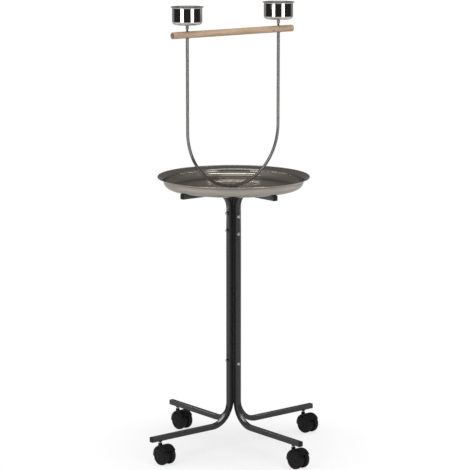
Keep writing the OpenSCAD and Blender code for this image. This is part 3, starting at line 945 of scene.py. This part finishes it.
def toward_camera(bearing=0.0, up=0.0):
    """Level direction from the stand to the camera, turned by a bearing in degrees."""
    turn = CAMERA_TURN + math.radians(bearing)
    return Vector((-math.sin(turn), -math.cos(turn), up))


def build_camera():
    data = bpy.data.cameras.new("camera")
    data.lens = CAMERA_LENS
    camera = bpy.data.objects.new("camera", data)
    bpy.context.scene.collection.objects.link(camera)
    camera.location = CAMERA_DISTANCE * toward_camera() + Vector((0, 0, CAMERA_HEIGHT))
    look = Vector(CAMERA_TARGET) - camera.location
    camera.rotation_euler = look.to_track_quat("-Z", "Y").to_euler()
    bpy.context.scene.camera = camera


def softbox(name, place, target, width, length, radiance):
    """An area light of the given radiance, aimed at a target and unseen by the camera."""
    data = bpy.data.lights.new(name, "AREA")
    data.shape = "RECTANGLE"
    data.size, data.size_y = width, length
    data.energy = radiance * math.pi * width * length
    lamp = bpy.data.objects.new(name, data)
    bpy.context.scene.collection.objects.link(lamp)
    lamp.location = place
    lamp.rotation_euler = (Vector(target) - Vector(place)).to_track_quat("-Z", "Y").to_euler()
    lamp.visible_camera = False
    return lamp


def lit_pieces(name, starts):
    """The pieces that a glint shines on, as a collection."""
    group = bpy.data.collections.new(f"{name}_pieces")
    for piece in bpy.context.scene.objects:
        if piece.name.startswith(starts):
            group.objects.link(piece)
    return group


def build_lights():
    """Strips that light everything, glints for gloss alone and fills for matt surfaces alone."""
    for name, bearing, distance, height, aim, width, length, radiance in LAMPS:
        at = distance * toward_camera(bearing) + Vector((0, 0, height))
        lamp = softbox(name, at, (0, 0, aim), width, length, radiance)
        lamp.visible_glossy = not name.startswith("fill")
        if name in GLINTS:
            lamp.visible_diffuse = False
            lamp.light_linking.receiver_collection = lit_pieces(name, GLINTS[name])
        if name == "top_strip":
            lamp.data.shape = "ELLIPSE"


def build_world():
    """White for the camera, an even fill for matt surfaces, and a dim studio for metal to reflect."""
    world = bpy.data.worlds.new("studio")
    bpy.context.scene.world = world
    world.use_nodes = True
    tree = world.node_tree
    tree.nodes.clear()
    ray = add(tree, "ShaderNodeTexCoord").outputs["Generated"]
    height = add(tree, "ShaderNodeSeparateXYZ", {"Vector": ray}).outputs["Z"]
    level = add(tree, "ShaderNodeVectorMath", {0: ray, 1: (1, 1, 0)}, operation="MULTIPLY").outputs[0]
    level = add(tree, "ShaderNodeVectorMath", {0: level}, operation="NORMALIZE").outputs[0]
    inputs = {0: level, 1: -toward_camera()}
    facing = add(tree, "ShaderNodeVectorMath", inputs, operation="DOT_PRODUCT").outputs["Value"]
    edges = [math.cos(math.radians(a)) for a in BACKDROP_EDGE]
    behind = spread(tree, facing, *edges, STUDIO_DARK, BACKDROP)
    over = spread(tree, facing, -0.5, 0.5, CEILING_FRONT, CEILING_BACK)
    high = spread(tree, height, *[math.sin(math.radians(a)) for a in CEILING_EDGE])
    studio = add(tree, "ShaderNodeMix", {0: high, 2: behind, 3: over}).outputs[0]
    path = add(tree, "ShaderNodeLightPath").outputs
    strength = add(tree, "ShaderNodeMix", {0: path["Is Glossy Ray"], 2: FILL, 3: studio}).outputs[0]
    strength = add(tree, "ShaderNodeMix", {0: path["Is Camera Ray"], 2: strength, 3: 1.0}).outputs[0]
    shader = add(tree, "ShaderNodeBackground", {"Color": (1, 1, 1, 1), "Strength": strength})
    output = add(tree, "ShaderNodeOutputWorld")
    tree.links.new(shader.outputs[0], output.inputs["Surface"])


def build_floor():
    """Pale floor: white to the camera far out; near its middle the glow stays below white, a painted
    shade round the stand that fades outward and holds its real soft shadow.
    """
    segments = 96
    turns = [2 * math.pi * i / segments for i in range(segments)]
    rim = [(FLOOR_R * math.cos(a), FLOOR_R * math.sin(a), 0) for a in turns]
    points, faces = skin([rim, [(0, 0, 0)] * segments], closed_ends=False)
    mesh = bpy.data.meshes.new("floor")
    mesh.from_pydata(points, [], faces)
    floor = bpy.data.objects.new("floor", mesh)
    bpy.context.scene.collection.objects.link(floor)
    material = bpy.data.materials.new("floor")
    material.use_nodes = True
    tree = material.node_tree
    tree.nodes.clear()
    place = add(tree, "ShaderNodeTexCoord").outputs["Object"]
    path = add(tree, "ShaderNodeLightPath").outputs
    grain = noise(tree, place, 40, detail=2)
    pale = blend_colour(tree, grain, (0.43, 0.43, 0.43), (0.45, 0.45, 0.45))
    matt = add(tree, "ShaderNodeBsdfDiffuse", {"Color": pale}).outputs[0]
    distance = add(tree, "ShaderNodeVectorMath", {0: place}, operation="LENGTH").outputs["Value"]
    seen = maths(tree, "MULTIPLY", path["Is Camera Ray"], FLOOR_GLOW)
    shine = spread(tree, distance, *SHINE_FADE, *FLOOR_SHINE)
    mirrored = maths(tree, "MULTIPLY", path["Is Glossy Ray"], shine)
    glow = add(tree, "ShaderNodeEmission", {"Strength": maths(tree, "ADD", seen, mirrored)}).outputs[0]
    near = add(tree, "ShaderNodeAddShader", {0: matt, 1: glow})
    white = add(tree, "ShaderNodeEmission", {"Strength": 1.0}).outputs[0]
    # Share of plain white by distance; nearer in, the floor is painted a little darker round the stand
    far = maths(tree, "MULTIPLY", spread(tree, distance, *FLOOR_PAINTED_SHADE_FADE), path["Is Camera Ray"])
    mixed = add(tree, "ShaderNodeMixShader", {0: far, 1: near.outputs[0], 2: white})
    output = add(tree, "ShaderNodeOutputMaterial")
    tree.links.new(mixed.outputs[0], output.inputs["Surface"])
    mesh.materials.append(material)


def main():
    build_camera()
    build_tubes()
    build_bolts()
    build_tray()
    build_cups()
    build_perch(build_rod())
    build_casters()
    build_world()
    build_lights()
    build_floor()
    bpy.context.scene.view_settings.view_transform = "Standard"


main()
